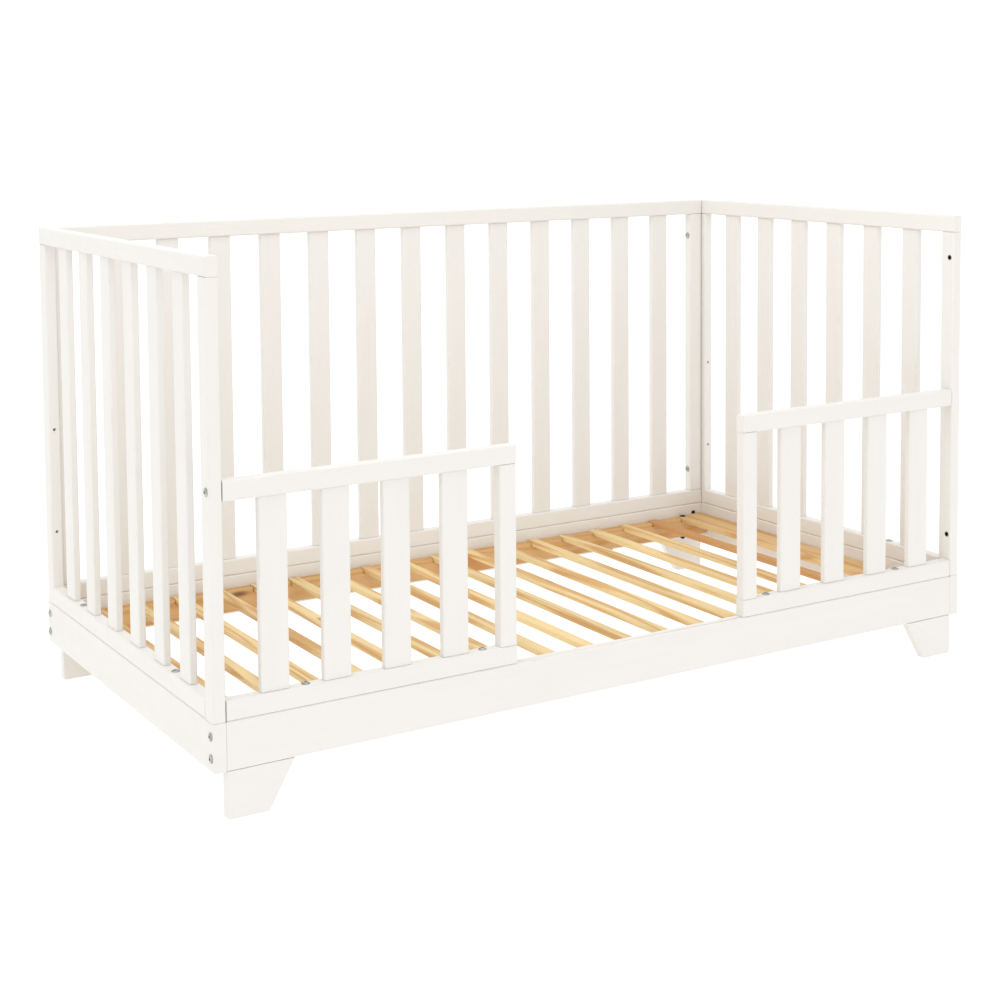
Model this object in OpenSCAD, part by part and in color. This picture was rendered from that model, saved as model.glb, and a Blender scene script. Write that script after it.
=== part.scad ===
// Toddler bed: a base on four feet carries two end panels, a back panel,
// two low guards with an entry gap between them, and a slatted pine base.
// X runs along the bed, the entry is on the -Y side, and Z = 0 is the floor
// under the middle of the bed. All sizes are in millimetres.

/* [Bed] */
// Length of the space between the end panels
inner_length = 1420; // [1240:10:1800]
// Overall width across the base
bed_width = 750; // [640:10:1000]
// Height of the feet under the base
foot_height = 70; // [40:5:200]
// Height of the base boards
base_height = 72; // [66:1:110]
// Height of the end and back panels above the base
panel_height = 660; // [500:10:900]
// Height of the guards above the base
guard_height = 344; // [180:2:440]
// Length of each guard
guard_length = 484; // [300:2:560]

/* [Frame stock] */
// Thickness of the base boards and of all rails and stiles
board = 20; // [18:1:26]
// Face width of the rails and stiles
stock_width = 30; // [28:1:45]
// Rounding of the long edges of the frame stock
edge_radius = 3; // [1:0.5:3]
// Gap between the end panels and the panels that meet them
panel_gap = 1; // [0.5:0.5:3]

/* [Panel slats] */
// Thickness of the panel slats
slat_thickness = 12; // [10:1:12]
// Width of the slats in the end and back panels
slat_width = 40; // [25:1:50]
// Width of the slats in the guards
guard_slat_width = 45; // [25:1:50]
// Number of slats in each end panel
end_slats = 6; // [4:1:8]
// Number of slats in the back panel
back_slats = 13; // [9:1:17]
// Number of slats in each guard
guard_slats = 4; // [3:1:5]
// Rounding of the long edges of the panel slats
slat_radius = 2.5; // [1:0.5:3]
// Length of the tenon at each end of a slat
tenon_length = 10; // [6:1:14]
// Shoulder around each tenon
tenon_shoulder = 2; // [1:0.5:3]
// Play around a tenon in its mortise
mortise_play = 0.1; // [0.1:0.1:0.3]

/* [Feet] */
// Thickness of a foot
foot_thickness = 16; // [14:1:18]
// Width of a foot where it meets the base
foot_top = 105; // [100:1:140]
// Width of a foot on the floor
foot_bottom = 64; // [40:1:90]
// Rounding of the lower corners of a foot
foot_radius = 3; // [1:0.5:6]

/* [Slatted base] */
// Thickness of the two bearers
bearer_thickness = 20; // [18:1:24]
// Height of the two bearers
bearer_height = 40; // [30:1:46]
// Width of a deck slat
deck_slat_width = 22; // [18:1:40]
// Thickness of the deck slats and the end members
deck_thickness = 10; // [8:1:14]
// Width of the two end members
deck_end_width = 68; // [50:1:90]
// Number of deck slats
deck_slats = 16; // [16:1:16]
// Depth of the notches that seat the deck slats
notch_depth = 8; // [5:0.5:8]
// Play beside a deck slat in its notch
notch_play = 1; // [0.5:0.5:2]
// Distance from the top of the base down to the top of the deck
deck_drop = 21; // [17:1:21]
// Rounding of the long edges of the deck slats
deck_radius = 2.5; // [1:0.5:3]
// Gap between the deck and the base boards at each end
deck_gap = 2; // [1:0.5:4]

/* [Hardware] */
// Thread diameter of the bolts
bolt_d = 6; // [5:0.5:6]
// Diameter of the clearance holes for the bolts
bolt_hole_d = 7; // [6.5:0.5:8]
// Diameter of a bolt head
head_d = 13; // [11:0.5:14]
// Height of a bolt head
head_height = 2.6; // [2.2:0.1:3]
// Height of the straight rim of a bolt head
head_rim = 1; // [0.6:0.1:1.4]
// Width across the flats of the hexagon socket
socket_flats = 4; // [3:0.5:5]
// Depth of the hexagon socket
socket_depth = 1.8; // [1.2:0.1:2]
// Diameter of a barrel nut
barrel_d = 10; // [9:0.5:12]
// Length of a barrel nut
barrel_length = 14; // [12:1:15]
// Distance from the end of a base rail to its barrel nuts
barrel_inset = 23; // [18:1:30]
// Distance from the edges of a base board to its corner bolts
corner_inset = 20; // [16:1:24]
// Outer diameter of a threaded insert
insert_d = 9; // [8:0.5:10]
// Length of a threaded insert
insert_length = 13; // [10:1:15]
// Distance from the lower and upper edges of a panel to its side bolts
side_bolt_inset = 76; // [60:1:110]
// Heights above the base of the two peg holes in each back stile
peg_heights = [128, 308]; // [60:1:400]
// Diameter of the peg holes
peg_hole_d = 5; // [4:0.5:7]
// Depth of the peg holes
peg_hole_depth = 12; // [8:1:16]
// Diameter of the pins under the bearers
pin_d = 5; // [4:0.5:5]
// Length of the pins under the bearers
pin_length = 30; // [24:1:32]
// Distance from the middle of the bed to each bearer pin
pin_offset = 460; // [300:10:500]
// Diameter of the dowels in the frame joints
dowel_d = 6; // [5:0.5:8]
// Length of the dowels in the frame joints
dowel_length = 30; // [20:1:36]
// Distance between the two dowels of a frame joint
dowel_spacing = 14; // [12:1:16]
// Diameter of the dowels in the feet
foot_dowel_d = 8; // [6:1:10]
// Length of the dowels in the feet
foot_dowel_length = 24; // [16:1:26]
// Distance from the outer edge of a foot to its nearer dowel
foot_dowel_near = 45; // [40:1:55]
// Distance from the outer edge of a foot to its farther dowel
foot_dowel_far = 85; // [72:1:85]
// Distance from the edge of an end member to its bolts
bearer_bolt_inset = 10; // [8:1:20]
// Height of the nuts under the bearers
nut_height = 5; // [4:0.5:6]
// Width across the flats of the nuts under the bearers
nut_flats = 10; // [9:0.5:11]

/* [Hidden] */
$fn = 32;
hole_play = 1;
part_gap = 2;
half_in = inner_length / 2;
half_out = half_in + board;
half_wide = bed_width / 2;
end_x = half_in + board / 2;
side_y = half_wide - board / 2;
base_top = foot_height + base_height;
low_top = base_top + stock_width;
panel_top = base_top + panel_height;
panel_rail_z = panel_top - stock_width;
guard_top = base_top + guard_height;
guard_rail_z = guard_top - stock_width;
back_half = half_in - panel_gap;
guard_inner_x = back_half - guard_length;
guard_stile_x = guard_inner_x + stock_width;
side_bolt_z = [base_top + side_bolt_inset, panel_top - side_bolt_inset];
guard_bolt_z = guard_top - stock_width / 2;
corner_bolt_z = [foot_height + corner_inset, base_top - corner_inset];
barrel_x = half_in - barrel_inset;
corner_shank = board + barrel_inset + barrel_d / 2 + part_gap;
side_shank = stock_width + panel_gap + insert_length;
guard_shank = board + panel_gap + insert_length;
base_shank = stock_width + insert_length;

// Slats spread evenly in an opening, with the same gap beside each of them
function slat_gap(span, count, width) = (span - count * width) / (count + 1);
function slat_centre(from, span, count, width, i) =
    from + (i + 1) * slat_gap(span, count, width) + (i + 0.5) * width;
function gap_centre(from, span, count, width, i) =
    from + (i + 0.5) * slat_gap(span, count, width) + i * width;

end_span = bed_width - 2 * stock_width;
end_slat_y = [for (i = [0 : end_slats - 1])
    slat_centre(-end_span / 2, end_span, end_slats, slat_width, i)];
end_bolt_y = gap_centre(-end_span / 2, end_span, end_slats, slat_width, 1);
back_span = 2 * (back_half - stock_width);
back_slat_x = [for (i = [0 : back_slats - 1])
    slat_centre(-back_span / 2, back_span, back_slats, slat_width, i)];
guard_span = guard_length - stock_width;
guard_slat_x = [for (i = [0 : guard_slats - 1])
    slat_centre(guard_stile_x, guard_span, guard_slats, guard_slat_width, i)];
guard_bolt_x = [for (i = [0, guard_slats - 1])
    gap_centre(guard_stile_x, guard_span, guard_slats, guard_slat_width, i)];

deck_top = base_top - deck_drop;
deck_half = half_in - deck_gap;
deck_inner = deck_half - deck_end_width;
deck_slat_x = [for (i = [0 : deck_slats - 1])
    slat_centre(-deck_inner, 2 * deck_inner, deck_slats, deck_slat_width, i)];
deck_length = bed_width - 2 * (board + part_gap);
bearer_top = deck_top - deck_thickness + notch_depth;
bearer_bottom = bearer_top - bearer_height;
bearer_y = half_wide - board - bearer_thickness / 2;
bearer_bolt_x = deck_inner + bearer_bolt_inset;
bearer_shank = deck_top - bearer_bottom + nut_height + part_gap;
foot_dowel_x = [half_in - foot_dowel_near, half_in - foot_dowel_far];

paint = [0.96, 0.95, 0.93];
pine = [0.86, 0.72, 0.47];
zinc = [0.72, 0.73, 0.75];
birch = [0.82, 0.70, 0.52];

function deck_slat_name(i) = str("deck_slat_", i < 10 ? "0" : "", i);

// ---- Shapes ----

// Rectangle with rounded corners, centred on the origin
module rounded_rect(w, h, r) {
    square([w - 2 * r, h], center = true);
    square([w, h - 2 * r], center = true);
    for (x = [-1, 1], y = [-1, 1])
        translate([x * (w / 2 - r), y * (h / 2 - r)])
            circle(r = r);
}

// Bars with rounded long edges: the first value is the size along X
module bar_x(x0, x1, ty, tz, r) {
    translate([x0, 0, 0])
        rotate([90, 0, 90])
            linear_extrude(x1 - x0)
                rounded_rect(ty, tz, r);
}

module bar_y(y0, y1, tx, tz, r) {
    translate([0, y1, 0])
        rotate([90, 0, 0])
            linear_extrude(y1 - y0)
                rounded_rect(tx, tz, r);
}

module bar_z(z0, z1, tx, ty, r) {
    translate([0, 0, z0])
        linear_extrude(z1 - z0)
            rounded_rect(tx, ty, r);
}

// Round bars and holes that start at the origin and run along one axis
module rod_x(d, length) {
    rotate([0, 90, 0])
        cylinder(d = d, h = length);
}

module rod_y(d, length) {
    rotate([-90, 0, 0])
        cylinder(d = d, h = length);
}

module rod_z(d, length) {
    cylinder(d = d, h = length);
}

// A piece that is drawn at +X, moved to the end of the bed with the given sign
module at_end(end) {
    if (end > 0)
        children();
    else
        mirror([1, 0, 0])
            children();
}

// A piece that is drawn at +Y, moved to the side of the bed with the given sign
module at_side(side) {
    if (side > 0)
        children();
    else
        mirror([0, 1, 0])
            children();
}

// The same piece at both ends of the bed, or on both of its long sides
module both_ends() {
    children();
    mirror([1, 0, 0])
        children();
}

module both_sides() {
    children();
    mirror([0, 1, 0])
        children();
}

// One slat of a panel, upright, with its tenons above and below
module panel_slat(z0, z1, tx, ty) {
    bar_z(z0, z1, tx, ty, slat_radius);
    translate([0, 0, (z0 + z1) / 2])
        cube([tx - 2 * tenon_shoulder, ty - 2 * tenon_shoulder,
            z1 - z0 + 2 * tenon_length], center = true);
}

// Pocket for one tenon: z is the face of the rail, up is 1 for a pocket above it
module mortise(z, up, tx, ty) {
    depth = tenon_length + hole_play;
    translate([0, 0, z + up * (depth - hole_play) / 2])
        cube([tx - 2 * tenon_shoulder + 2 * mortise_play,
            ty - 2 * tenon_shoulder + 2 * mortise_play,
            depth + hole_play], center = true);
}

// Bolt along +Z: the underside of its domed head is at the origin
module bolt(shank) {
    dome = head_height - head_rim;
    dome_r = (pow(head_d / 2, 2) + pow(dome, 2)) / (2 * dome);
    translate([0, 0, -head_rim / 2])
        cylinder(d = bolt_d, h = shank + head_rim / 2);
    difference() {
        intersection() {
            translate([0, 0, -head_height])
                cylinder(d = head_d, h = head_height);
            translate([0, 0, dome_r - head_height])
                sphere(r = dome_r, $fn = 96);
        }
        translate([0, 0, -head_height - hole_play])
            cylinder(d = socket_flats / cos(30), h = socket_depth + hole_play, $fn = 6);
    }
}

// Ring with an inside thread, along +Z from the origin
module insert() {
    difference() {
        cylinder(d = insert_d, h = insert_length);
        translate([0, 0, -hole_play])
            cylinder(d = bolt_d, h = insert_length + 2 * hole_play);
    }
}

// Hole for an insert, along +Z, with a narrower one behind it for the bolt tip
module insert_hole() {
    translate([0, 0, -hole_play])
        cylinder(d = insert_d, h = insert_length + hole_play);
    cylinder(d = bolt_hole_d, h = insert_length + part_gap);
}

// Places of the two dowels of a frame joint
module dowel_pair(along) {
    for (side = [-1, 1])
        translate(side * dowel_spacing / 2 * along)
            children();
}

module dowel(d, length) {
    cylinder(d = d, h = length, center = true);
}

// Dowels of one end panel at +X: above, in and below its stiles
module end_panel_dowels(play) {
    for (side = [-1, 1]) {
        translate([end_x, side * (half_wide - stock_width / 2), panel_rail_z])
            dowel_pair([0, 1, 0])
                dowel(dowel_d, dowel_length + play);
        translate([end_x, side * (half_wide - stock_width), base_top + stock_width / 2])
            dowel_pair([0, 0, 1])
                rotate([90, 0, 0])
                    dowel(dowel_d, dowel_length + play);
    }
}

// Dowels above and below the back panel's stile at +X
module back_stile_dowels(play) {
    for (z = [low_top, panel_rail_z])
        translate([back_half - stock_width / 2, side_y, z])
            dowel_pair([1, 0, 0])
                dowel(dowel_d, dowel_length + play);
}

// Dowels above and below the stile of the guard at +X
module guard_dowels(play) {
    for (z = [low_top, guard_rail_z])
        translate([guard_inner_x + stock_width / 2, -side_y, z])
            dowel_pair([1, 0, 0])
                dowel(dowel_d, dowel_length + play);
}

// Dowels between the foot and the base rail in the +X, +Y corner
module foot_dowels(play) {
    for (x = foot_dowel_x)
        translate([x, half_wide - foot_thickness / 2, foot_height])
            dowel(foot_dowel_d, foot_dowel_length + play);
}

// ---- Base ----

module base_end(side) {
    color(paint)
        at_end(side)
            difference() {
                translate([end_x, 0, foot_height + base_height / 2])
                    bar_y(-half_wide, half_wide, board, base_height, edge_radius);
                for (y = [-side_y, side_y], z = corner_bolt_z)
                    translate([half_in - hole_play, y, z])
                        rod_x(bolt_hole_d, board + 2 * hole_play);
                for (y = [-end_bolt_y, end_bolt_y])
                    translate([end_x, y, base_top])
                        mirror([0, 0, 1])
                            insert_hole();
            }
}

// Base rail, drawn at +Y: it is bored for the corner bolts, nuts, pins and feet
module base_rail(side) {
    inner_y = half_wide - board;
    color(paint)
        at_side(side)
            difference() {
                translate([0, side_y, foot_height + base_height / 2])
                    bar_x(-half_in, half_in, board, base_height, edge_radius);
                both_ends() {
                    for (z = corner_bolt_z) {
                        translate([half_in - corner_shank + board - hole_play, side_y, z])
                            rod_x(bolt_hole_d, corner_shank);
                        translate([barrel_x, inner_y - hole_play, z])
                            rod_y(barrel_d, barrel_length + 2 * hole_play);
                    }
                    translate([pin_offset, inner_y - hole_play, bearer_bottom - pin_d / 2])
                        rod_y(pin_d, pin_length / 2 + hole_play);
                    foot_dowels(hole_play);
                    if (side < 0)
                        for (x = guard_bolt_x)
                            translate([x, side_y, base_top])
                                mirror([0, 0, 1])
                                    insert_hole();
                }
            }
}

// Outline of a foot in X and Z, with its outer edge at x = half_in
module foot_outline() {
    slope = [foot_top - foot_bottom, foot_height];
    slant = slope / norm(slope);
    low_inner = [half_in - foot_bottom, 0];
    reach = foot_radius * tan((90 - atan2(slope[0], slope[1])) / 2);
    centre = low_inner + [reach, foot_radius];
    past = 1 + hole_play / foot_radius;
    difference() {
        polygon([[half_in - foot_top, foot_height], low_inner, [half_in, 0],
            [half_in, foot_height]]);
        // The cuts reach past the outline, so that they leave no skin along it
        difference() {
            polygon([centre, centre - past * [0, foot_radius],
                centre - past * [reach, foot_radius],
                centre - past * foot_radius * [slant[1], slant[0]]]);
            translate(centre)
                circle(r = foot_radius);
        }
        difference() {
            translate([half_in - foot_radius, -hole_play])
                square(foot_radius + hole_play);
            translate([half_in - foot_radius, foot_radius])
                circle(r = foot_radius);
        }
    }
}

// Foot, drawn in the +X, +Y corner
module foot(end, side) {
    color(paint)
        at_end(end)
            at_side(side)
                difference() {
                    translate([0, half_wide, 0])
                        rotate([90, 0, 0])
                            linear_extrude(foot_thickness)
                                foot_outline();
                    foot_dowels(hole_play);
                }
}

// ---- End panels, drawn at +X ----

module end_top_rail(side) {
    color(paint)
        at_end(side)
            difference() {
                translate([end_x, 0, panel_top - stock_width / 2])
                    bar_y(-half_wide, half_wide, board, stock_width, edge_radius);
                end_panel_dowels(hole_play);
                for (y = end_slat_y)
                    translate([end_x, y, 0])
                        mortise(panel_rail_z, 1, slat_thickness, slat_width);
            }
}

module end_bottom_rail(side) {
    color(paint)
        at_end(side)
            difference() {
                translate([end_x, 0, base_top + stock_width / 2])
                    bar_y(-end_span / 2, end_span / 2, board, stock_width, edge_radius);
                end_panel_dowels(hole_play);
                for (y = end_slat_y)
                    translate([end_x, y, 0])
                        mortise(low_top, -1, slat_thickness, slat_width);
                for (y = [-end_bolt_y, end_bolt_y])
                    translate([end_x, y, base_top - hole_play])
                        rod_z(bolt_hole_d, stock_width + 2 * hole_play);
            }
}

// Stile of an end panel: it holds two inserts, and the back one has two peg holes
module end_stile(side, back) {
    color(paint)
        at_end(side)
            at_side(back)
                difference() {
                    translate([end_x, half_wide - stock_width / 2, 0])
                        bar_z(base_top, panel_rail_z, board, stock_width, edge_radius);
                    end_panel_dowels(hole_play);
                    for (z = side_bolt_z)
                        translate([half_in, side_y, z])
                            rotate([0, 90, 0])
                                insert_hole();
                    if (back > 0)
                        for (z = peg_heights)
                            translate([end_x, half_wide - stock_width - hole_play, base_top + z])
                                rod_y(peg_hole_d, peg_hole_depth + hole_play);
                    else
                        translate([half_in - hole_play, side_y, guard_bolt_z])
                            rod_x(bolt_hole_d, board + 2 * hole_play);
                }
}

module end_slats_group(side) {
    color(paint)
        at_end(side)
            for (y = end_slat_y)
                translate([end_x, y, 0])
                    panel_slat(low_top, panel_rail_z, slat_thickness, slat_width);
}

// ---- Back panel ----

module back_rail(z, face_z, up) {
    color(paint)
        difference() {
            translate([0, side_y, z + stock_width / 2])
                bar_x(-back_half, back_half, board, stock_width, edge_radius);
            both_ends()
                back_stile_dowels(hole_play);
            for (x = back_slat_x)
                translate([x, side_y, 0])
                    mortise(face_z, up, slat_width, slat_thickness);
        }
}

module back_stile(side) {
    color(paint)
        at_end(side)
            difference() {
                translate([back_half - stock_width / 2, side_y, 0])
                    bar_z(low_top, panel_rail_z, stock_width, board, edge_radius);
                back_stile_dowels(hole_play);
                for (z = side_bolt_z)
                    translate([back_half - stock_width - hole_play, side_y, z])
                        rod_x(bolt_hole_d, stock_width + 2 * hole_play);
            }
}

module back_slats_group() {
    color(paint)
        for (x = back_slat_x)
            translate([x, side_y, 0])
                panel_slat(low_top, panel_rail_z, slat_width, slat_thickness);
}

// ---- Guards, drawn at +X ----

module guard_rail(side, z, face_z, up, bored) {
    color(paint)
        at_end(side)
            difference() {
                translate([0, -side_y, z + stock_width / 2])
                    bar_x(guard_inner_x, back_half, board, stock_width, edge_radius);
                guard_dowels(hole_play);
                for (x = guard_slat_x)
                    translate([x, -side_y, 0])
                        mortise(face_z, up, guard_slat_width, slat_thickness);
                if (bored)
                    for (x = guard_bolt_x)
                        translate([x, -side_y, z - hole_play])
                            rod_z(bolt_hole_d, stock_width + 2 * hole_play);
                else
                    translate([back_half, -side_y, guard_bolt_z])
                        rotate([0, -90, 0])
                            insert_hole();
            }
}

module guard_stile(side) {
    color(paint)
        at_end(side)
            difference() {
                translate([guard_inner_x + stock_width / 2, -side_y, 0])
                    bar_z(low_top, guard_rail_z, stock_width, board, edge_radius);
                guard_dowels(hole_play);
            }
}

module guard_slats_group(side) {
    color(paint)
        at_end(side)
            for (x = guard_slat_x)
                translate([x, -side_y, 0])
                    panel_slat(low_top, guard_rail_z, guard_slat_width, slat_thickness);
}

// ---- Slatted base ----

// Bearer on edge along a base rail, notched for every slat and end member
module bearer(side) {
    notch_z = bearer_top - notch_depth;
    color(pine)
        at_side(side)
            difference() {
                translate([0, bearer_y, bearer_bottom + bearer_height / 2])
                    bar_x(-deck_half, deck_half, bearer_thickness, bearer_height, deck_radius);
                for (x = deck_slat_x)
                    translate([x - deck_slat_width / 2 - notch_play,
                        bearer_y - bearer_thickness, notch_z])
                        cube([deck_slat_width + 2 * notch_play, 2 * bearer_thickness,
                            2 * notch_depth]);
                both_ends() {
                    translate([deck_inner - notch_play, bearer_y - bearer_thickness, notch_z])
                        cube([deck_end_width + 2 * notch_play, 2 * bearer_thickness,
                            2 * notch_depth]);
                    translate([bearer_bolt_x, bearer_y, bearer_bottom - hole_play])
                        rod_z(bolt_hole_d, bearer_height + 2 * hole_play);
                }
            }
}

module deck_end(side) {
    color(pine)
        at_end(side)
            difference() {
                translate([deck_half - deck_end_width / 2, 0, deck_top - deck_thickness / 2])
                    bar_y(-deck_length / 2, deck_length / 2, deck_end_width, deck_thickness,
                        deck_radius);
                for (y = [-bearer_y, bearer_y])
                    translate([bearer_bolt_x, y, deck_top - deck_thickness - hole_play])
                        rod_z(bolt_hole_d, deck_thickness + 2 * hole_play);
            }
}

module deck_slat(x) {
    color(pine)
        translate([x, 0, deck_top - deck_thickness / 2])
            bar_y(-deck_length / 2, deck_length / 2, deck_slat_width, deck_thickness,
                deck_radius);
}

// ---- Hardware ----

module corner_bolts() {
    color(zinc)
        both_ends()
            for (y = [-side_y, side_y], z = corner_bolt_z)
                translate([half_out, y, z])
                    rotate([0, -90, 0])
                        bolt(corner_shank);
}

// Cross-bored nuts with a screwdriver slot in the end that shows
module barrel_nuts() {
    slot_width = 1.4;
    slot_depth = 1.2;
    inner_y = half_wide - board;
    color(zinc)
        both_ends()
            both_sides()
                for (z = corner_bolt_z)
                    translate([barrel_x, inner_y, z])
                        difference() {
                            rod_y(barrel_d, barrel_length);
                            translate([-barrel_d, board / 2, 0])
                                rod_x(bolt_d, 2 * barrel_d);
                            translate([-barrel_d / 2, -hole_play, -slot_width / 2])
                                cube([barrel_d, slot_depth + hole_play, slot_width]);
                        }
}

module base_bolts() {
    color(zinc)
        both_ends() {
            for (y = [-end_bolt_y, end_bolt_y])
                translate([end_x, y, low_top])
                    mirror([0, 0, 1])
                        bolt(base_shank);
            for (x = guard_bolt_x)
                translate([x, -side_y, low_top])
                    mirror([0, 0, 1])
                        bolt(base_shank);
        }
}

module side_bolts() {
    color(zinc)
        both_ends() {
            for (z = side_bolt_z)
                translate([back_half - stock_width, side_y, z])
                    rotate([0, 90, 0])
                        bolt(side_shank);
            translate([half_out, -side_y, guard_bolt_z])
                rotate([0, -90, 0])
                    bolt(guard_shank);
        }
}

module threaded_inserts() {
    color(zinc)
        both_ends() {
            for (y = [-side_y, side_y], z = side_bolt_z)
                translate([half_in, y, z])
                    rotate([0, 90, 0])
                        insert();
            translate([back_half, -side_y, guard_bolt_z])
                rotate([0, -90, 0])
                    insert();
            for (y = [-end_bolt_y, end_bolt_y])
                translate([end_x, y, base_top])
                    mirror([0, 0, 1])
                        insert();
            for (x = guard_bolt_x)
                translate([x, -side_y, base_top])
                    mirror([0, 0, 1])
                        insert();
        }
}

module frame_dowels() {
    color(birch)
        both_ends() {
            end_panel_dowels(0);
            back_stile_dowels(0);
            guard_dowels(0);
            both_sides()
                foot_dowels(0);
        }
}

module bearer_bolts() {
    color(zinc)
        both_ends()
            for (y = [-bearer_y, bearer_y])
                translate([bearer_bolt_x, y, deck_top])
                    mirror([0, 0, 1])
                        bolt(bearer_shank);
}

module bearer_nuts() {
    color(zinc)
        both_ends()
            for (y = [-bearer_y, bearer_y])
                translate([bearer_bolt_x, y, bearer_bottom - nut_height])
                    difference() {
                        cylinder(d = nut_flats / cos(30), h = nut_height, $fn = 6);
                        translate([0, 0, -hole_play])
                            cylinder(d = bolt_d, h = nut_height + 2 * hole_play);
                    }
}

module bearer_pins() {
    color(zinc)
        both_ends()
            both_sides()
                translate([pin_offset, half_wide - board - pin_length / 2,
                    bearer_bottom - pin_d / 2])
                    rod_y(pin_d, pin_length);
}

base_end(-1);  // base_end_left
base_end(1);  // base_end_right
base_rail(-1);  // base_rail_front
base_rail(1);  // base_rail_back
foot(-1, -1);  // foot_front_left
foot(1, -1);  // foot_front_right
foot(-1, 1);  // foot_back_left
foot(1, 1);  // foot_back_right
end_top_rail(-1);  // left_end_top_rail
end_bottom_rail(-1);  // left_end_bottom_rail
end_stile(-1, -1);  // left_end_front_stile
end_stile(-1, 1);  // left_end_back_stile
end_slats_group(-1);  // left_end_slats
end_top_rail(1);  // right_end_top_rail
end_bottom_rail(1);  // right_end_bottom_rail
end_stile(1, -1);  // right_end_front_stile
end_stile(1, 1);  // right_end_back_stile
end_slats_group(1);  // right_end_slats
back_rail(panel_rail_z, panel_rail_z, 1);  // back_top_rail
back_rail(base_top, low_top, -1);  // back_bottom_rail
back_stile(-1);  // back_stile_left
back_stile(1);  // back_stile_right
back_slats_group();  // back_slats
guard_rail(-1, guard_rail_z, guard_rail_z, 1, false);  // left_guard_top_rail
guard_rail(-1, base_top, low_top, -1, true);  // left_guard_bottom_rail
guard_stile(-1);  // left_guard_stile
guard_slats_group(-1);  // left_guard_slats
guard_rail(1, guard_rail_z, guard_rail_z, 1, false);  // right_guard_top_rail
guard_rail(1, base_top, low_top, -1, true);  // right_guard_bottom_rail
guard_stile(1);  // right_guard_stile
guard_slats_group(1);  // right_guard_slats
bearer(-1);  // bearer_front
bearer(1);  // bearer_back
deck_end(-1);  // deck_end_left
deck_end(1);  // deck_end_right
for (i = [1 : deck_slats])
    deck_slat(deck_slat_x[i - 1]);
corner_bolts();
barrel_nuts();
base_bolts();
side_bolts();
threaded_inserts();
frame_dowels();
bearer_bolts();
bearer_nuts();
bearer_pins();
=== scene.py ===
import bpy
import bmesh
import math
import random
from mathutils import Matrix, Vector


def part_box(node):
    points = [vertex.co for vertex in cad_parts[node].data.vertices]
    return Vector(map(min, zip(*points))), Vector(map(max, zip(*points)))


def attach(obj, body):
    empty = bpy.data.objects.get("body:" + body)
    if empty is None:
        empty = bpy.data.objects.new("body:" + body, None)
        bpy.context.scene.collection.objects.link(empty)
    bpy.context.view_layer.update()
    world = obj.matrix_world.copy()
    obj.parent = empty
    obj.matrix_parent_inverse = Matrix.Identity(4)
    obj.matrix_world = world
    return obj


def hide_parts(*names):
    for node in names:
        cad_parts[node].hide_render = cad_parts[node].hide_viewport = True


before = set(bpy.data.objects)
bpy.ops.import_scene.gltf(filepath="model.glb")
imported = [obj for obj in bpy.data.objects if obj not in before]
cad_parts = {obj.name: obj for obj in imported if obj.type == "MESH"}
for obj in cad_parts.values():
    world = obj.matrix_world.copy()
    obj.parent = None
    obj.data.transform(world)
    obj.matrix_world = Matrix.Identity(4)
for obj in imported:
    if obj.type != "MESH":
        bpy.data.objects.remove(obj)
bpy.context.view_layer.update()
print("frame loaded:", len(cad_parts), "nodes")


def low(node):
    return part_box(node)[0]


def high(node):
    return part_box(node)[1]


def middle(node):
    return (low(node) + high(node)) / 2


# the camera looks at the left end and the open front, from a little above the panels
cameraSetup = {
    "place": (-1.6551, -2.6512, 1.0011),
    "turn": 31.662,      # degrees from square-on, towards the right end
    "down": 4.146,       # degrees below level
    "roll": -0.434,
    "lens": 63.64,
    "shift": -0.2633,
    "sensor": 36,
    "reach": 80,
}


def makeCamera(setup):
    turn, down, roll = (math.radians(setup[key]) for key in ("turn", "down", "roll"))
    ahead = Vector((math.sin(turn) * math.cos(down), math.cos(turn) * math.cos(down),
                    -math.sin(down)))
    level = Vector((math.cos(turn), -math.sin(turn), 0))
    above = level.cross(ahead)
    right = math.cos(roll) * level + math.sin(roll) * above
    up = math.cos(roll) * above - math.sin(roll) * level
    data = bpy.data.cameras.new("camera")
    data.lens = setup["lens"]
    data.sensor_width = setup["sensor"]
    data.shift_y = setup["shift"]
    data.clip_end = setup["reach"]
    camera = bpy.data.objects.new("camera", data)
    bpy.context.scene.collection.objects.link(camera)
    axes = Matrix((right, up, -ahead)).transposed().to_4x4()
    camera.matrix_world = Matrix.Translation(setup["place"]) @ axes
    bpy.context.scene.camera = camera


makeCamera(cameraSetup)
print("camera ready")


# small helpers for the shader trees
def newMaterial(name):
    material = bpy.data.materials.new(name)
    material.use_nodes = True
    return material, material.node_tree, material.node_tree.nodes["Principled BSDF"]


def feed(tree, socket, value):
    if isinstance(value, bpy.types.NodeSocket):
        tree.links.new(value, socket)
    elif value is not None:
        socket.default_value = value


def addNode(tree, kind, settings=None, **inputs):
    node = tree.nodes.new(kind)
    for key, value in (settings or {}).items():
        setattr(node, key, value)
    for key, value in inputs.items():
        feed(tree, node.inputs[key.replace("_", " ")], value)
    return node


def calculate(tree, operation, first, second=None, third=None):
    node = tree.nodes.new("ShaderNodeMath")
    node.operation = operation
    for socket, value in zip(node.inputs, (first, second, third)):
        feed(tree, socket, value)
    return node.outputs[0]


def ramp(tree, factor, stops):
    node = tree.nodes.new("ShaderNodeValToRGB")
    feed(tree, node.inputs["Fac"], factor)
    while len(node.color_ramp.elements) < len(stops):
        node.color_ramp.elements.new(0.5)
    for element, (place, colour) in zip(node.color_ramp.elements, stops):
        element.position = place
        element.color = (*colour, 1) if isinstance(colour, tuple) else (colour, colour, colour, 1)
    return node.outputs["Color"]


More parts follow.
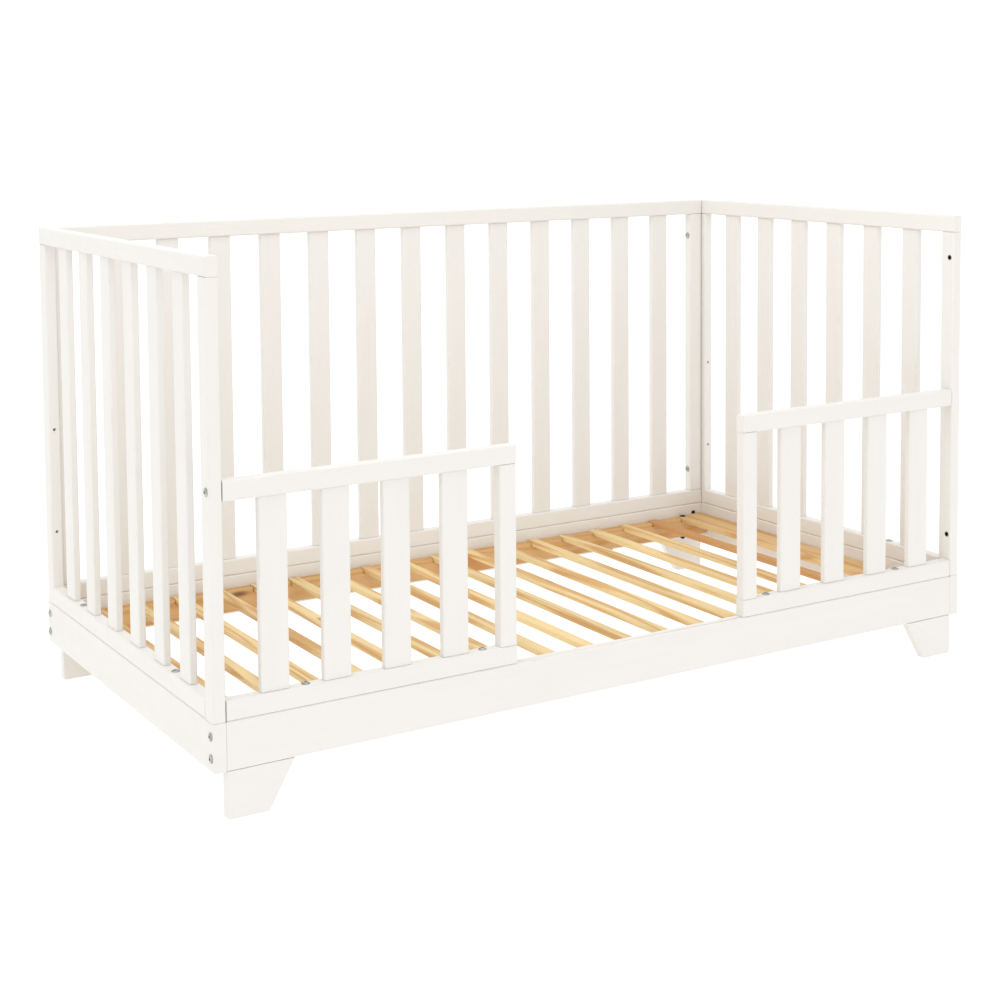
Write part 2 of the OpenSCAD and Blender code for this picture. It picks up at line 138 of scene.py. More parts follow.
def mixColour(tree, factor, first, second, blend="MIX"):
    node = tree.nodes.new("ShaderNodeMix")
    node.data_type = "RGBA"
    node.blend_type = blend
    feed(tree, node.inputs["Factor"], factor)
    for index, value in ((6, first), (7, second)):
        feed(tree, node.inputs[index], (*value, 1) if isinstance(value, tuple) else value)
    return node.outputs[2]


def grainPlace(tree, scale):
    # the grain attribute runs along, across and through each board, in metres
    attribute = addNode(tree, "ShaderNodeAttribute", {"attribute_name": "grain"})
    return addNode(tree, "ShaderNodeMapping", Vector=attribute.outputs["Vector"],
                   Scale=scale).outputs[0]


def grainNoise(tree, scale, detail=3.0, roughness=0.55, distortion=0.0):
    return addNode(tree, "ShaderNodeTexNoise", Vector=grainPlace(tree, scale), Scale=1.0,
                   Detail=detail, Roughness=roughness, Distortion=distortion).outputs["Fac"]


def objectNoise(tree, scale, detail=3.0, roughness=0.5):
    place = addNode(tree, "ShaderNodeTexCoord").outputs["Object"]
    return addNode(tree, "ShaderNodeTexNoise", Vector=place, Scale=scale, Detail=detail,
                   Roughness=roughness).outputs["Fac"]


def arrisMask(tree):
    # 1 where a face is turned out of the three main directions: the rounded edges, and the
    # slanted ends of the feet
    normal = addNode(tree, "ShaderNodeNewGeometry").outputs["True Normal"]
    parts = addNode(tree, "ShaderNodeSeparateXYZ", Vector=normal).outputs
    sizes = [calculate(tree, "ABSOLUTE", parts[index]) for index in range(3)]
    widest = calculate(tree, "MAXIMUM", calculate(tree, "MAXIMUM", sizes[0], sizes[1]), sizes[2])
    return calculate(tree, "LESS_THAN", widest, 0.995)


def bumpNode(tree, height, strength, distance, normal=None):
    return addNode(tree, "ShaderNodeBump", Height=height, Strength=strength,
                   Distance=distance, Normal=normal).outputs["Normal"]


paintLook = {
    "colour": (0.793, 0.775, 0.743),
    "cloud": (0.776, 0.755, 0.719),      # the same paint where it lies thinner
    "worn": (0.680, 0.640, 0.565),       # primer that shows through on the arrises
    "wear": 0.35,
    "grain": 0.988,                      # how much the wood's grain darkens the paint over it
    "roughness": (0.33, 0.46),
    "pores": 0.06,
    "peel": 0.06,
    # how fine each pattern is: along, across and through the board, or the same all ways
    "cloudScale": (5, 22, 22),
    "streakScale": (9, 260, 260),
    "chipScale": (26, 60, 60),
    "poreScale": (12, 520, 520),
    "dullScale": 38,
    "peelScale": 620,
    "ior": 1.48,
}


def makePaint(look):
    material, tree, shader = newMaterial("satin paint")
    cloud = ramp(tree, grainNoise(tree, look["cloudScale"], 4), [(0.35, 0.0), (0.75, 1.0)])
    colour = mixColour(tree, cloud, look["colour"], look["cloud"])
    streak = ramp(tree, grainNoise(tree, look["streakScale"], 3),
                  [(0.3, look["grain"]), (0.7, 1.0)])
    colour = mixColour(tree, 1.0, colour, streak, "MULTIPLY")
    chips = ramp(tree, grainNoise(tree, look["chipScale"], 5, 0.7), [(0.52, 0.0), (0.68, 1.0)])
    worn = calculate(tree, "MULTIPLY", arrisMask(tree), chips)
    colour = mixColour(tree, calculate(tree, "MULTIPLY", worn, look["wear"]), colour, look["worn"])
    feed(tree, shader.inputs["Base Color"], colour)
    dull = ramp(tree, objectNoise(tree, look["dullScale"], 4),
                [(0.3, look["roughness"][0]), (0.7, look["roughness"][1])])
    feed(tree, shader.inputs["Roughness"], dull)
    pores = bumpNode(tree, grainNoise(tree, look["poreScale"], 4, 0.6), look["pores"], 0.0005)
    peel = bumpNode(tree, objectNoise(tree, look["peelScale"], 2), look["peel"], 0.0003, pores)
    feed(tree, shader.inputs["Normal"], peel)
    shader.inputs["IOR"].default_value = look["ior"]
    return material


pineLook = {
    "early": (0.900, 0.690, 0.350),
    "late": (0.700, 0.400, 0.135),
    "orange": (0.640, 0.290, 0.080),     # the heartwood of a few boards, and painted shade on the bearers under the deck
    "knot": (0.200, 0.085, 0.030),
    "bands": 46.0,
    "roughness": (0.46, 0.66),
    "fibres": 0.30,
    "rings": 0.12,
    "heart": [(0.64, 0.0), (0.95, 0.85)],    # a board's tone, and how orange that makes it
    "knotted": 0.72,                     # the share of places where a knot could be and isn't
    "ringScale": (1.1, 17, 17),
    "fibreScale": (16, 760, 760),
    "shadeScale": (2.2, 9, 9),
    "knotScale": (7, 24, 24),
}


def makePine(look):
    material, tree, shader = newMaterial("planed pine")
    tone = addNode(tree, "ShaderNodeAttribute", {"attribute_name": "tone"}).outputs["Fac"]
    field = grainNoise(tree, look["ringScale"], 2, 0.45, 0.5)
    wave = calculate(tree, "SINE", calculate(tree, "MULTIPLY", field, look["bands"]))
    rings = ramp(tree, calculate(tree, "MULTIPLY_ADD", wave, 0.5, 0.5),
                 [(0.0, 0.0), (0.55, 0.25), (1.0, 1.0)])
    colour = mixColour(tree, rings, look["early"], look["late"])
    # a high tone turns a board orange: heartwood on a few deck slats, painted shade on the bearers
    heart = ramp(tree, tone, look["heart"])
    colour = mixColour(tree, heart, colour, look["orange"])
    fibres = grainNoise(tree, look["fibreScale"], 4, 0.6)
    colour = mixColour(tree, 1.0, colour, ramp(tree, fibres, [(0.3, 0.84), (0.7, 1.0)]),
                       "MULTIPLY")
    shade = ramp(tree, grainNoise(tree, look["shadeScale"], 2), [(0.3, 0.86), (0.7, 1.0)])
    colour = mixColour(tree, 1.0, colour, shade, "MULTIPLY")
    cells = addNode(tree, "ShaderNodeTexVoronoi", Vector=grainPlace(tree, look["knotScale"]),
                    Scale=1.0)
    pick = addNode(tree, "ShaderNodeSeparateColor", Color=cells.outputs["Color"]).outputs[0]
    near = ramp(tree, cells.outputs["Distance"], [(0.06, 1.0), (0.17, 0.0)])
    knots = calculate(tree, "MULTIPLY", near,
                      calculate(tree, "GREATER_THAN", pick, look["knotted"]))
    colour = mixColour(tree, knots, colour, look["knot"])
    feed(tree, shader.inputs["Base Color"], colour)
    dull = ramp(tree, fibres, [(0.3, look["roughness"][0]), (0.7, look["roughness"][1])])
    feed(tree, shader.inputs["Roughness"], dull)
    relief = bumpNode(tree, fibres, look["fibres"], 0.0006)
    feed(tree, shader.inputs["Normal"], bumpNode(tree, rings, look["rings"], 0.0004, relief))
    return material


zincLook = {
    "bright": (0.60, 0.62, 0.58),
    "dull": (0.20, 0.21, 0.19),
    "roughness": (0.18, 0.38),
    "pitting": 0.15,
}

# the threaded inserts are duller than the bolts
insertLook = {
    "bright": (0.24, 0.24, 0.20),
    "dull": (0.10, 0.10, 0.08),
    "roughness": (0.30, 0.50),
    "pitting": 0.20,
}

# the bolts and nuts of the bearers, and the barrel nuts, all drawn near-black
blackLook = {
    "bright": (0.060, 0.052, 0.044),
    "dull": (0.025, 0.022, 0.018),
    "roughness": (0.34, 0.55),
    "pitting": 0.20,
}


metalScale = {"cloud": 240, "pits": 1900}


def makeMetal(name, look):
    material, tree, shader = newMaterial(name)
    cloud = objectNoise(tree, metalScale["cloud"], 5, 0.6)
    feed(tree, shader.inputs["Base Color"],
         mixColour(tree, ramp(tree, cloud, [(0.35, 0.0), (0.7, 1.0)]), look["bright"],
                   look["dull"]))
    feed(tree, shader.inputs["Roughness"],
         ramp(tree, cloud, [(0.3, look["roughness"][0]), (0.7, look["roughness"][1])]))
    feed(tree, shader.inputs["Normal"],
         bumpNode(tree, objectNoise(tree, metalScale["pits"], 3), look["pitting"], 0.0002))
    shader.inputs["Metallic"].default_value = 1.0
    return material


dowelLook = {
    "light": (0.66, 0.47, 0.27),
    "dark": (0.50, 0.33, 0.17),
    "roughness": (0.55, 0.72),
    "fleckScale": (900, 900, 60),
}


def makeDowelWood(look):
    material, tree, shader = newMaterial("beech dowel")
    place = addNode(tree, "ShaderNodeTexCoord").outputs["Object"]
    place = addNode(tree, "ShaderNodeMapping", Vector=place, Scale=look["fleckScale"]).outputs[0]
    flecks = addNode(tree, "ShaderNodeTexNoise", Vector=place, Scale=1.0, Detail=3.0).outputs["Fac"]
    feed(tree, shader.inputs["Base Color"],
         mixColour(tree, ramp(tree, flecks, [(0.35, 0.0), (0.65, 1.0)]), look["light"],
                   look["dark"]))
    feed(tree, shader.inputs["Roughness"],
         ramp(tree, flecks, [(0.3, look["roughness"][0]), (0.7, look["roughness"][1])]))
    feed(tree, shader.inputs["Normal"], bumpNode(tree, flecks, 0.3, 0.0003))
    return material


finishes = {
    "paint": makePaint(paintLook),
    "pine": makePine(pineLook),
    "zinc": makeMetal("zinc plating", zincLook),
    "insert": makeMetal("dull zinc", insertLook),
    "black": makeMetal("near-black steel", blackLook),
    "dowel": makeDowelWood(dowelLook),
}
print("finishes ready")


# geometry helpers
chance = random.Random(11)


boardSetup = {
    "arris": 0.0010,
    "pineArris": 0.0009,
    "metalArris": 0.0002,
    "arrisRings": 2,
    "sharp": 38,             # degrees between two faces from which their edge is eased
    "flat": 0.6,             # degrees below which two faces count as one
    "merge": 0.000004,
}


def linkNew(name, mesh):
    piece = bpy.data.objects.new(name, mesh)
    bpy.context.scene.collection.objects.link(piece)
    return piece


def bakeModifiers(piece):
    # the modifiers' result becomes a plain mesh
    view = bpy.context.evaluated_depsgraph_get()
    made = bpy.data.meshes.new_from_object(piece.evaluated_get(view), depsgraph=view,
                                           preserve_all_data_layers=True)
    piece.modifiers.clear()
    old = piece.data
    piece.data = made
    bpy.data.meshes.remove(old)
    # a geometry tree's result can hold an empty slot before its own material
    if len(made.materials) > 1 and made.materials[0] is None:
        made.materials.pop(index=0)


def softenEdges(piece, arris):
    for polygon in piece.data.polygons:
        polygon.use_smooth = True
    bevel = piece.modifiers.new("arris", "BEVEL")
    bevel.width = arris
    bevel.segments = boardSetup["arrisRings"]
    bevel.limit_method = "ANGLE"
    bevel.angle_limit = math.radians(boardSetup["sharp"])
    bevel.use_clamp_overlap = False
    weigh = piece.modifiers.new("even shading", "WEIGHTED_NORMAL")
    weigh.mode = "FACE_AREA"
    weigh.weight = 60
    bakeModifiers(piece)


def settle(piece, finish, nodes):
    # a piece without a material takes its finish's; the dull and the near-black metal are finishes
    # of their own; the dull and the blackened metal fill the same slot as the zinc
    if len(piece.data.materials) == 0:
        piece.data.materials.append(finishes[finish])
    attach(piece, "root")
    if nodes:
        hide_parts(*nodes)


def pieceName(node):
    words = node.split("_")
    return words[0] + "".join(word.capitalize() for word in words[1:])


def writePointData(mesh, name, kind, field, values):
    attribute = mesh.attributes.new(name, kind, "POINT")
    attribute.data.foreach_set(field, values)


def writeGrain(piece, redness):
    # the board's longest side is its grain direction, and each board is cut elsewhere in the tree
    mesh = piece.data
    corners = [Vector(corner) for corner in piece.bound_box]
    sizes = [max(c[i] for c in corners) - min(c[i] for c in corners) for i in range(3)]
    order = sorted(range(3), key=lambda i: -sizes[i])
    start = [chance.uniform(0, 9) for _ in range(3)]
    grain = [start[k] + vertex.co[order[k]] for vertex in mesh.vertices for k in range(3)]
    writePointData(mesh, "grain", "FLOAT_VECTOR", "vector", grain)
    writePointData(mesh, "tone", "FLOAT", "value", [redness] * len(mesh.vertices))


def boardFrom(node, finish, arris, redness=0.0):
    # a merged copy of a bored or shaped board, with its sharp corners eased by hand sanding
    shape = bmesh.new()
    shape.from_mesh(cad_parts[node].data)
    bmesh.ops.remove_doubles(shape, verts=shape.verts, dist=boardSetup["merge"])
    bmesh.ops.dissolve_limit(shape, angle_limit=math.radians(boardSetup["flat"]),
                             verts=shape.verts, edges=shape.edges, use_dissolve_boundaries=False)
    mesh = bpy.data.meshes.new(pieceName(node))
    shape.to_mesh(mesh)
    shape.free()
    piece = linkNew(pieceName(node), mesh)
    softenEdges(piece, arris)
    writeGrain(piece, redness)
    settle(piece, finish, [node])


# the painted boards of the base, feet, panels and guards
sides = ("left", "right")
paintedBoards = ["base_rail_front", "base_rail_back", "back_top_rail", "back_bottom_rail"]
for side in sides:
    paintedBoards += ["base_end_" + side, "foot_front_" + side, "foot_back_" + side,
                      "back_stile_" + side]
    paintedBoards += [side + "_end_" + part for part in ("top_rail", "bottom_rail", "front_stile",
                                                         "back_stile")]
    paintedBoards += [side + "_guard_" + part for part in ("top_rail", "bottom_rail", "stile")]
for node in paintedBoards:
    boardFrom(node, "paint", boardSetup["arris"])
print("painted boards:", len(paintedBoards))

# how far each of these boards is turned darker and more orange, from 0 to 1; on the two bearers
# this is painted shade, for where they lie under the deck slats
pineBoards = {"bearer_front": 0.86, "bearer_back": 0.86, "deck_end_left": 0.74,
              "deck_end_right": 0.78}
for node, redness in pineBoards.items():
    boardFrom(node, "pine", boardSetup["pineArris"], redness)
print("pine bearers and end members:", len(pineBoards))

smallMetal = {"barrel_nuts": "black", "threaded_inserts": "insert", "bearer_nuts": "black",
              "bearer_pins": "zinc"}
for node, finish in smallMetal.items():
    boardFrom(node, finish, boardSetup["metalArris"])
print("nuts, inserts and pins:", len(smallMetal))


# slats: one tree makes every row of them
def treeNode(tree, kind, settings=None, links=None):
    node = tree.nodes.new(kind)
    for key, value in (settings or {}).items():
        setattr(node, key, value)
    for socket, value in (links or {}).items():
        feed(tree, node.inputs[socket], value)
    return node


# how far, in metres, a slat's cut moves as its tone goes from 0 to 1, so that no two are alike
cutShift = (31, 17, 23)


def makeSlatTree():
    tree = bpy.data.node_groups.new("slat row", "GeometryNodeTree")
    kinds = {"Count": "NodeSocketInt", "Pitch": "NodeSocketFloat", "Width": "NodeSocketFloat",
             "Thickness": "NodeSocketFloat", "Length": "NodeSocketFloat",
             "Edge Radius": "NodeSocketFloat", "Seed": "NodeSocketInt",
             "Finish": "NodeSocketMaterial"}
    for name, kind in kinds.items():
        tree.interface.new_socket(name=name, in_out="INPUT", socket_type=kind)
    tree.interface.new_socket(name="Geometry", in_out="OUTPUT", socket_type="NodeSocketGeometry")
    given = tree.nodes.new("NodeGroupInput").outputs
    outline = treeNode(tree, "GeometryNodeCurvePrimitiveQuadrilateral",
                       links={"Width": given["Width"], "Height": given["Thickness"]})
    rounded = treeNode(tree, "GeometryNodeFilletCurve", {"mode": "POLY"},
                       {"Curve": outline.outputs[0], "Count": 5, "Radius": given["Edge Radius"],
                        "Limit Radius": True})
    top = treeNode(tree, "ShaderNodeCombineXYZ", links={"Z": given["Length"]})
    line = treeNode(tree, "GeometryNodeCurvePrimitiveLine", links={"End": top.outputs[0]})
    bar = treeNode(tree, "GeometryNodeCurveToMesh",
                   links={"Curve": line.outputs[0], "Profile Curve": rounded.outputs[0],
                          "Fill Caps": True})
    place = treeNode(tree, "ShaderNodeSeparateXYZ",
                     links={0: tree.nodes.new("GeometryNodeInputPosition").outputs[0]})
    along = treeNode(tree, "ShaderNodeCombineXYZ",
                     links={"X": place.outputs[2], "Y": place.outputs[0], "Z": place.outputs[1]})
    grained = treeNode(tree, "GeometryNodeStoreNamedAttribute", {"data_type": "FLOAT_VECTOR"},
                       {"Geometry": bar.outputs[0], "Name": "cut", "Value": along.outputs[0]})
    step = treeNode(tree, "ShaderNodeCombineXYZ", links={"X": given["Pitch"]})
    row = treeNode(tree, "GeometryNodeMeshLine", {"mode": "OFFSET"},
                   {"Count": given["Count"], "Offset": step.outputs[0]})
    placed = treeNode(tree, "GeometryNodeInstanceOnPoints",
                      links={"Points": row.outputs[0], "Instance": grained.outputs[0]})
    pick = treeNode(tree, "FunctionNodeRandomValue", {"data_type": "FLOAT"},
                    {"Seed": given["Seed"]})
    toned = treeNode(tree, "GeometryNodeStoreNamedAttribute",
                     {"data_type": "FLOAT", "domain": "INSTANCE"},
                     {"Geometry": placed.outputs[0], "Name": "tone", "Value": pick.outputs[1]})
    real = treeNode(tree, "GeometryNodeRealizeInstances", links={"Geometry": toned.outputs[0]})
    tone = treeNode(tree, "GeometryNodeInputNamedAttribute", links={"Name": "tone"})
    cut = treeNode(tree, "GeometryNodeInputNamedAttribute", {"data_type": "FLOAT_VECTOR"},
                   {"Name": "cut"})
    shift = treeNode(tree, "ShaderNodeVectorMath", {"operation": "MULTIPLY_ADD"})
    feed(tree, shift.inputs[0], tone.outputs[0])
    shift.inputs[1].default_value = cutShift
    feed(tree, shift.inputs[2], cut.outputs[0])
    final = treeNode(tree, "GeometryNodeStoreNamedAttribute", {"data_type": "FLOAT_VECTOR"},
                     {"Geometry": real.outputs[0], "Name": "grain", "Value": shift.outputs[0]})
    painted = treeNode(tree, "GeometryNodeSetMaterial",
                       links={"Geometry": final.outputs[0], "Material": given["Finish"]})
    out = tree.nodes.new("NodeGroupOutput")
    tree.links.new(painted.outputs[0], out.inputs[0])
    return tree


def runTree(name, mesh, tree, values):
    # sets the modifier's inputs by their identifiers, then keeps the result as a plain mesh
    piece = linkNew(name, mesh)
    modifier = piece.modifiers.new("maker", "NODES")
    modifier.node_group = tree
    for item in tree.interface.items_tree:
        if item.in_out == "INPUT" and item.name in values:
            modifier[item.identifier] = values[item.name]
    bakeModifiers(piece)
    return piece


slatTree = makeSlatTree()
upright = Matrix.Identity(4)
acrossBed = Matrix.Rotation(math.radians(90), 4, "Z")    # rows that run from front to back
lying = Matrix.Rotation(math.radians(-90), 4, "X")       # slats that run from front to back


def slatRow(name, nodes, finish, count, width, thickness, radius, length, span, turn, start, seed):
    piece = runTree(name, bpy.data.meshes.new(name), slatTree, {
        "Count": count, "Pitch": (span - width) / (count - 1), "Width": width,
        "Thickness": thickness, "Length": length, "Edge Radius": radius, "Seed": seed,
        "Finish": finishes[finish]})
    piece.data.transform(Matrix.Translation(start) @ turn)
    softenEdges(piece, boardSetup["arris"])
    settle(piece, finish, nodes)


panelSlats = {
    "back": {"count": 13, "width": 0.040, "seed": 3},
    "end": {"count": 6, "width": 0.040, "seed": 5},
    "guard": {"count": 4, "width": 0.045, "seed": 8},
    "thickness": 0.012,
    "radius": 0.0025,
}


def panelRow(name, node, kind, bottomRail, topRail, alongBed, seedShift):
    # the drawn slats stop at their shoulders, because the rails hide the tenons
    setup = panelSlats[kind]
    bottom, top = high(bottomRail).z, low(topRail).z
    first, size, centre = low(node), high(node) - low(node), middle(node)
    half = setup["width"] / 2
    if alongBed:
        span, start, turn = size.x, (first.x + half, centre.y, bottom), upright
    else:
        span, start, turn = size.y, (centre.x, first.y + half, bottom), acrossBed
    slatRow(name, [node], "paint", setup["count"], setup["width"], panelSlats["thickness"],
            panelSlats["radius"], top - bottom, span, turn, start, setup["seed"] + seedShift)


panelRow("backSlats", "back_slats", "back", "back_bottom_rail", "back_top_rail", True, 0)
for index, side in enumerate(sides):
    panelRow(side + "EndSlats", side + "_end_slats", "end", side + "_end_bottom_rail",
             side + "_end_top_rail", False, index)
    panelRow(side + "GuardSlats", side + "_guard_slats", "guard", side + "_guard_bottom_rail",
             side + "_guard_top_rail", True, index)
print("panel slats ready")

deckSlats = {"count": 16, "radius": 0.0025, "seed": 428}
deckNodes = ["deck_slat_%02d" % number for number in range(1, deckSlats["count"] + 1)]
firstSlat, lastSlat = deckNodes[0], deckNodes[-1]
deckSize = high(firstSlat) - low(firstSlat)
slatRow("deckSlats", deckNodes, "pine", deckSlats["count"], deckSize.x, deckSize.z,
        deckSlats["radius"], deckSize.y, high(lastSlat).x - low(firstSlat).x, lying,
        (middle(firstSlat).x, low(firstSlat).y, middle(firstSlat).z), deckSlats["seed"])
print("deck slats:", deckSlats["count"])


# bolts: a turned head and shank, set on points by a second tree
boltSetup = {
    "head": 0.013,
    "headHeight": 0.0026,
    "rim": 0.0010,
    "socket": 0.004,         # across the flats
    "socketDepth": 0.0018,
    "thread": 0.006,
    "threadDepth": 0.00035,
    "threadStep": 0.0016,
    "segments": 24,
    "sharp": 40,             # degrees
    "seed": 4,
}

# how far out each ring of the head's dome lies, from 0 in the middle to 1 at the rim
domeRings = (0.46, 0.60, 0.74, 0.86, 0.95)


def boltMesh(name, shank, setup):
    # stations from the middle of the socket outwards: radius, height, and 1 where it is hexagonal
    headR, tall, rim = setup["head"] / 2, setup["headHeight"], setup["rim"]
    hexR, threadR = setup["socket"] / 2, setup["thread"] / 2
    rise = tall - rim
    domeR = (headR ** 2 + rise ** 2) / (2 * rise)
    floorZ = tall - setup["socketDepth"]
    stations = [(hexR * 0.98, floorZ, 1), (hexR, floorZ + 0.0001, 1), (hexR, tall - 0.00035, 1),
                (hexR * 1.12, tall - 0.00012, 1)]
    for share in domeRings:
        radius = headR * share
        stations.append((radius, tall - domeR + math.sqrt(domeR ** 2 - radius ** 2), 0))
    stations += [(headR, rim * 0.9, 0), (headR, rim * 0.15, 0), (headR * 0.985, 0, 0),
                 (threadR, 0, 0)]
    depth = setup["threadStep"]
    while depth < shank - setup["threadStep"]:
        stations.append((threadR, -depth, 0))
        stations.append((threadR - setup["threadDepth"], -depth - setup["threadStep"] * 0.5, 0))
        depth += setup["threadStep"]
    stations += [(threadR, -depth, 0), (threadR, -shank + 0.0006, 0), (threadR * 0.75, -shank, 0)]
    shape = bmesh.new()
    rings = []
    for radius, height, hexagonal in stations:
        ring = []
        for step in range(setup["segments"]):
            angle = 2 * math.pi * step / setup["segments"]
            reach = radius
            if hexagonal:
                reach = radius / math.cos((angle % (math.pi / 3)) - math.pi / 6)
            ring.append(shape.verts.new((reach * math.cos(angle), reach * math.sin(angle),
                                         height)))
        rings.append(ring)
    for inner, outer in zip(rings, rings[1:]):
        for step in range(setup["segments"]):
            after = (step + 1) % setup["segments"]
            shape.faces.new((inner[step], outer[step], outer[after], inner[after]))
    shape.faces.new(rings[0])
    shape.faces.new(list(reversed(rings[-1])))
    bmesh.ops.recalc_face_normals(shape, faces=shape.faces)
    for face in shape.faces:
        face.smooth = True
    mesh = bpy.data.meshes.new(name)
    shape.to_mesh(mesh)
    shape.free()
    mesh.set_sharp_from_angle(angle=math.radians(setup["sharp"]))
    return mesh


def makeBoltTree():
    tree = bpy.data.node_groups.new("bolt set", "GeometryNodeTree")
    for name, kind in (("Geometry", "NodeSocketGeometry"), ("Bolt", "NodeSocketObject"),
                       ("Seed", "NodeSocketInt"), ("Finish", "NodeSocketMaterial")):
        tree.interface.new_socket(name=name, in_out="INPUT", socket_type=kind)
    tree.interface.new_socket(name="Geometry", in_out="OUTPUT", socket_type="NodeSocketGeometry")
    given = tree.nodes.new("NodeGroupInput").outputs
    bolt = treeNode(tree, "GeometryNodeObjectInfo", links={"Object": given["Bolt"]})
    aim = treeNode(tree, "GeometryNodeInputNamedAttribute", {"data_type": "FLOAT_VECTOR"},
                   {"Name": "aim"})
    face = treeNode(tree, "FunctionNodeAlignRotationToVector", {"axis": "Z"},
                    {"Vector": aim.outputs[0]})
    angle = treeNode(tree, "FunctionNodeRandomValue", {"data_type": "FLOAT"},
                     {"Seed": given["Seed"]})
    angle.inputs[3].default_value = 2 * math.pi
    spin = treeNode(tree, "FunctionNodeAxisAngleToRotation", links={"Angle": angle.outputs[1]})
    turned = treeNode(tree, "FunctionNodeRotateRotation", {"rotation_space": "LOCAL"},
                      {"Rotation": face.outputs[0], "Rotate By": spin.outputs[0]})
    placed = treeNode(tree, "GeometryNodeInstanceOnPoints",
                      links={"Points": given["Geometry"], "Instance": bolt.outputs["Geometry"],
                             "Rotation": turned.outputs[0]})
    real = treeNode(tree, "GeometryNodeRealizeInstances", links={"Geometry": placed.outputs[0]})
    painted = treeNode(tree, "GeometryNodeSetMaterial",
                       links={"Geometry": real.outputs[0], "Material": given["Finish"]})
    out = tree.nodes.new("NodeGroupOutput")
    tree.links.new(painted.outputs[0], out.inputs[0])
    return tree


boltTree = makeBoltTree()


def boltSet(name, nodes, finish, shank, places):
    # places holds the seat of each head and the direction that the head faces
    template = linkNew(name + "Template", boltMesh(name + "Template", shank, boltSetup))
    points = bpy.data.meshes.new(name)
    points.from_pydata([seat for seat, aim in places], [], [])
    aims = points.attributes.new("aim", "FLOAT_VECTOR", "POINT")
    for index, (seat, aim) in enumerate(places):
        aims.data[index].vector = aim
    piece = runTree(name, points, boltTree, {"Bolt": template, "Seed": boltSetup["seed"],
                                             "Finish": finishes[finish]})
    bpy.data.objects.remove(template)
    settle(piece, finish, nodes)


# length of each kind of bolt under its head
shanks = {"corner": 0.050, "base": 0.043, "side": 0.044, "guard": 0.034, "bearer": 0.049}
headR = boltSetup["head"] / 2
ends = (-1, 1)


def headPlaces(node, axis):
    # the two rows of heads along one axis, worked out from the box round them
    return low(node)[axis] + headR, high(node)[axis] - headR


endFace = high("base_end_right").x
boltSet("cornerBolts", ["corner_bolts"], "zinc", shanks["corner"],
        [((end * endFace, y, z), (end, 0, 0)) for end in ends
         for y in headPlaces("corner_bolts", 1) for z in headPlaces("corner_bolts", 2)])

railTop = high("left_end_bottom_rail").z
panelX, panelY = middle("right_end_bottom_rail").x, headPlaces("base_bolts", 1)[1]
guardLow, guardHigh = low("right_guard_slats").x, high("right_guard_slats").x
slatWide, slatCount = panelSlats["guard"]["width"], panelSlats["guard"]["count"]
guardGap = (guardHigh - guardLow - slatWide) / (slatCount - 1) - slatWide
guardX = (guardLow - guardGap / 2, guardHigh - slatWide - guardGap / 2)
guardY = middle("right_guard_bottom_rail").y
boltSet("baseBolts", ["base_bolts"], "zinc", shanks["base"],
        [((end * panelX, y, railTop), (0, 0, 1)) for end in ends for y in (-panelY, panelY)]
        + [((end * x, guardY, railTop), (0, 0, 1)) for end in ends for x in guardX])

stileFace, stileY = low("back_stile_right").x, middle("back_stile_right").y
boltSet("sideBolts", ["side_bolts"], "zinc", shanks["side"],
        [((end * stileFace, stileY, z), (-end, 0, 0)) for end in ends
         for z in headPlaces("side_bolts", 2)])
boltSet("guardBolts", [], "zinc", shanks["guard"],
        [((end * endFace, guardY, middle("right_guard_top_rail").z), (end, 0, 0))
         for end in ends])
deckTop = high("deck_end_left").z
boltSet("bearerBolts", ["bearer_bolts"], "black", shanks["bearer"],
        [((x, y, deckTop), (0, 0, 1)) for x in headPlaces("bearer_bolts", 0)
         for y in headPlaces("bearer_bolts", 1)])
print("bolts ready")

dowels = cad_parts["frame_dowels"]
for slot in dowels.material_slots:
    slot.material = finishes["dowel"]


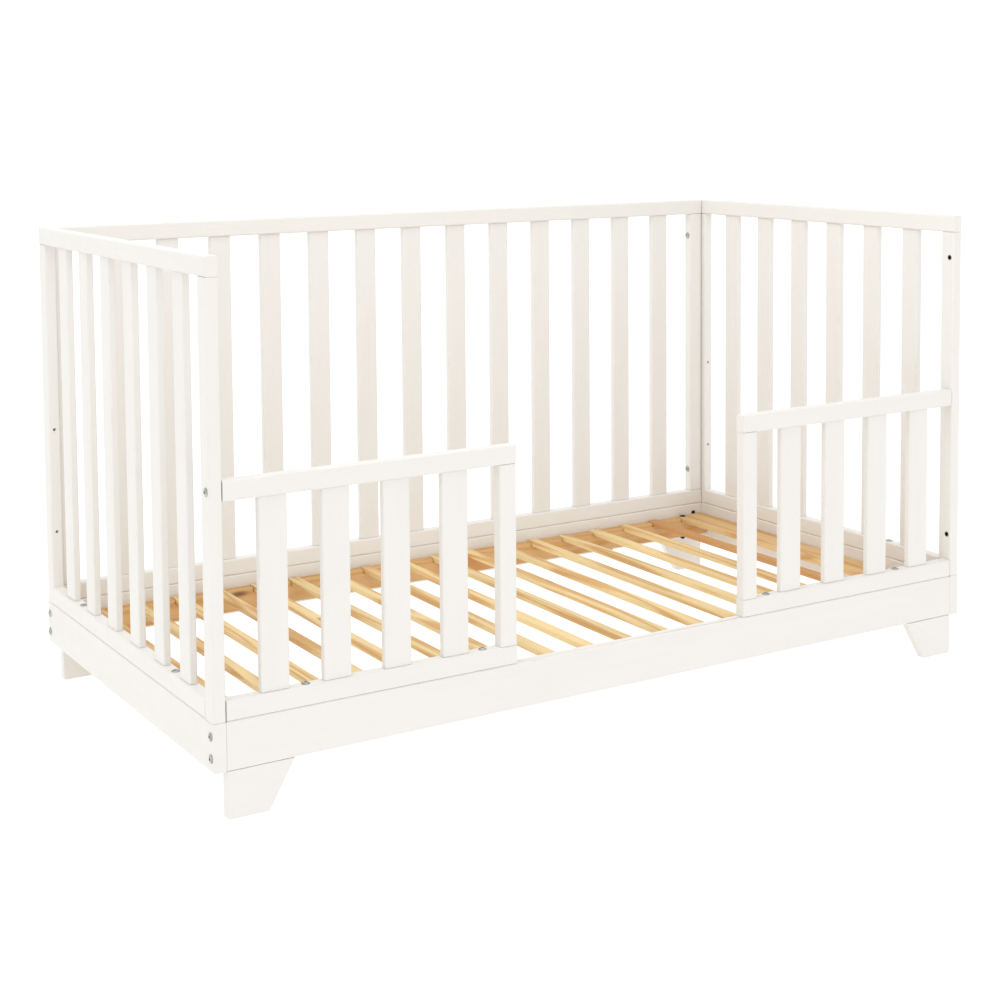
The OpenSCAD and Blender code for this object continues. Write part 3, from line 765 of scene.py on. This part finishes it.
# room and light
roomSetup = {
    "floor": (0.35, 0.35, 0.35),
    "floorGlow": 0.81,       # the floor is a lit white table, so little shadow lies under the bed
    "floorSize": 40,
    "floorDrop": 0.0004,
    "floorShade": 0.985,
    "sky": 1.02,
    "skyColour": (1, 0.995, 0.985, 1),
    "aimHeight": 0.4,
    "keyPower": 30,
    "keySize": 6.0,
    "keyPlace": (-2.6, -7.6, 5.4),
    "topPower": 18,
    "topSize": 1.6,
    "topPlace": (-0.8, -0.4, 2.8),
}


def makeFloor(setup):
    half = setup["floorSize"] / 2
    mesh = bpy.data.meshes.new("floor")
    mesh.from_pydata([(-half, -half, 0), (half, -half, 0), (half, half, 0), (-half, half, 0)],
                     [], [(0, 1, 2, 3)])
    mesh.transform(Matrix.Translation((0, 0, -setup["floorDrop"])))
    floor = linkNew("floor", mesh)
    material, tree, shader = newMaterial("pale floor")
    shade = objectNoise(tree, 3.0, 2)
    shaded = tuple(setup["floorShade"] * part for part in setup["floor"])
    feed(tree, shader.inputs["Base Color"], mixColour(tree, shade, setup["floor"], shaded))
    shader.inputs["Roughness"].default_value = 0.9
    shader.inputs["Specular IOR Level"].default_value = 0.1
    shader.inputs["Emission Color"].default_value = (1, 1, 1, 1)
    shader.inputs["Emission Strength"].default_value = setup["floorGlow"]
    mesh.materials.append(material)


def makeLight(name, power, size, place):
    data = bpy.data.lights.new(name, "AREA")
    data.energy = power
    data.size = size
    light = bpy.data.objects.new(name, data)
    bpy.context.scene.collection.objects.link(light)
    light.location = place
    ray = Vector((0, 0, roomSetup["aimHeight"])) - Vector(place)
    light.rotation_euler = ray.to_track_quat("-Z", "Y").to_euler()


def makeSky(strength, colour):
    world = bpy.data.worlds.new("studio")
    world.use_nodes = True
    world.node_tree.nodes["Background"].inputs["Color"].default_value = colour
    world.node_tree.nodes["Background"].inputs["Strength"].default_value = strength
    bpy.context.scene.world = world
    bpy.context.scene.view_settings.view_transform = "Standard"


makeFloor(roomSetup)
makeLight("key", roomSetup["keyPower"], roomSetup["keySize"], roomSetup["keyPlace"])
makeLight("top", roomSetup["topPower"], roomSetup["topSize"], roomSetup["topPlace"])
makeSky(roomSetup["sky"], roomSetup["skyColour"])
print("room and light ready")
